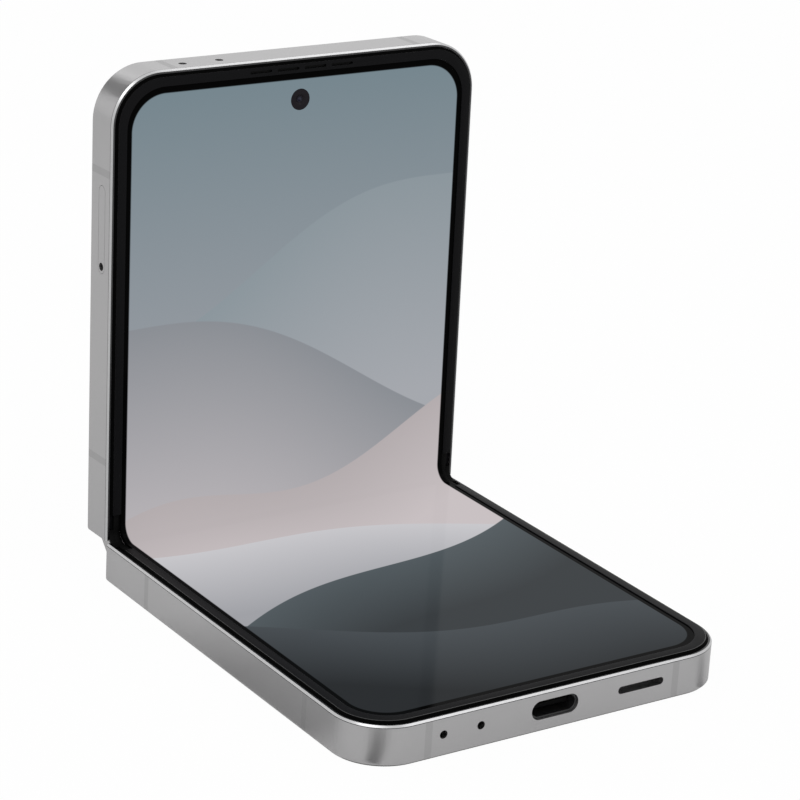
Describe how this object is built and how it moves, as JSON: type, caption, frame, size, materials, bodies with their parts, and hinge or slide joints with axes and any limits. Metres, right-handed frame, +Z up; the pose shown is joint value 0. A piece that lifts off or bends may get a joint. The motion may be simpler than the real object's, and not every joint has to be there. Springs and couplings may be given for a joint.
{
  "type": "foldable smartphone",
  "caption": "Clamshell phone with a folding screen, two thin halves on a geared twin-axis hinge, standing half open at a right angle.",
  "frame": {"origin": "middle of the bounding box's foot, on the surface that the lower half lies on", "axes": "+X along the hinge towards the side with the keys, +Y from the lower half's free end towards the hinge, +Z up along the standing half"},
  "size_m": [0.0722, 0.0914, 0.0888],
  "materials": {
    "frame_metal": "satin, brushed",
    "band_plastic": "satin",
    "bezel_black": "satin black",
    "screen": "gloss",
    "back_silver": "frosted",
    "cover_black": "gloss",
    "battery_grey": "matt",
    "copper": "bare",
    "board_green": "matt",
    "steel": "bare",
    "black_plastic": "matt",
    "cap_rubber": "matt",
    "gear_brass": "bare",
    "lens_glass": "gloss",
    "flash_clear": "frosted",
    "card_white": "matt"
  },
  "bodies": {
    "lower_half": {"lower_frame": "frame_metal", "lower_antenna_bands": "band_plastic", "lower_bezel": "bezel_black", "lower_display": "screen", "lower_back_glass": "back_silver", "lower_battery": "battery_grey", "lower_board": "board_green", "lower_microphones": "gear_brass", "lower_magnets": "steel", "lower_screws": "steel", "lower_hinge_arms": "steel", "lower_hinge_plate": "steel", "charging_coil": "copper", "usb_shell": "steel", "usb_tongue": "black_plastic", "loudspeaker": "black_plastic", "speaker_mesh": "black_plastic", "vibration_motor": "steel", "display_fold": "screen", "hinge_caps": "cap_rubber", "hinge_flex_cable": "copper"},
    "hinge": {"hinge_cover": "frame_metal", "hinge_brackets": "steel", "hinge_pins": "steel", "hinge_washers": "gear_brass", "hinge_screws": "steel"},
    "upper_half": {"upper_frame": "frame_metal", "upper_antenna_bands": "band_plastic", "upper_bezel": "bezel_black", "upper_display": "screen", "cover_glass": "cover_black", "cover_display": "cover_black", "camera_rings": "frame_metal", "camera_lenses": "lens_glass", "camera_modules": "black_plastic", "flash_lens": "flash_clear", "front_camera": "lens_glass", "earpiece": "black_plastic", "main_board": "board_green", "board_shields": "steel", "upper_battery": "battery_grey", "upper_microphones": "gear_brass", "upper_magnets": "steel", "upper_screws": "steel", "upper_hinge_arms": "steel", "upper_hinge_plate": "steel", "card_reader": "steel", "key_switches": "gear_brass"},
    "idler_gear_lower_left": {"idler_gear_lower_left": "gear_brass"},
    "idler_gear_lower_right": {"idler_gear_lower_right": "gear_brass"},
    "idler_gear_upper_left": {"idler_gear_upper_left": "gear_brass"},
    "idler_gear_upper_right": {"idler_gear_upper_right": "gear_brass"},
    "volume_key": {"volume_key": "frame_metal"},
    "power_key": {"power_key": "frame_metal"},
    "card_tray": {"card_tray": "frame_metal", "sim_card": "card_white"}
  },
  "joints": [
    {"name": "lower_fold", "type": "hinge", "parent": "lower_half", "child": "hinge", "pos_m": [0, 0.03489, 0.0055], "axis": [-1, 0, 0], "range_deg": [-45.5, 44.5], "deforming": ["display_fold", "hinge_caps", "hinge_flex_cable"]},
    {"name": "upper_fold", "type": "hinge", "parent": "hinge", "child": "upper_half", "pos_m": [0, 0.03768, 0.00823], "axis": [-1, 0, 0], "range_deg": [-45.5, 44.5]},
    {"name": "idler_gear_lower_left_turn", "type": "hinge", "parent": "hinge", "child": "idler_gear_lower_left", "pos_m": [0, 0.03582, 0.00641], "axis": [-1, 0, 0], "range_deg": [-45.5, 44.5]},
    {"name": "idler_gear_lower_right_turn", "type": "hinge", "parent": "hinge", "child": "idler_gear_lower_right", "pos_m": [0, 0.03582, 0.00641], "axis": [-1, 0, 0], "range_deg": [-45.5, 44.5]},
    {"name": "idler_gear_upper_left_turn", "type": "hinge", "parent": "hinge", "child": "idler_gear_upper_left", "pos_m": [0, 0.03675, 0.00732], "axis": [-1, 0, 0], "range_deg": [-44.5, 45.5]},
    {"name": "idler_gear_upper_right_turn", "type": "hinge", "parent": "hinge", "child": "idler_gear_upper_right", "pos_m": [0, 0.03675, 0.00732], "axis": [-1, 0, 0], "range_deg": [-44.5, 45.5]},
    {"name": "volume_rock", "type": "hinge", "parent": "upper_half", "child": "volume_key", "pos_m": [0.035, 0.04017, 0.05945], "axis": [0, 0.9998, -0.0175], "range_deg": [-0.8, 0.8], "stiffness_Nm_per_rad": 0.6},
    {"name": "power_press", "type": "slide", "parent": "upper_half", "child": "power_key", "axis": [-1, 0, 0], "range_m": [0, 0.0002], "stiffness_N_per_m": 1500},
    {"name": "tray_slide", "type": "slide", "parent": "upper_half", "child": "card_tray", "axis": [-1, 0, 0], "range_m": [0, 0.0145]}
  ],
  "couplings": [
    {"joint": "upper_fold", "follows": "lower_fold", "ratio": 1},
    {"joint": "idler_gear_lower_left_turn", "follows": "lower_fold", "ratio": 1},
    {"joint": "idler_gear_lower_right_turn", "follows": "lower_fold", "ratio": 1},
    {"joint": "idler_gear_upper_left_turn", "follows": "lower_fold", "ratio": -1},
    {"joint": "idler_gear_upper_right_turn", "follows": "lower_fold", "ratio": -1}
  ]
}
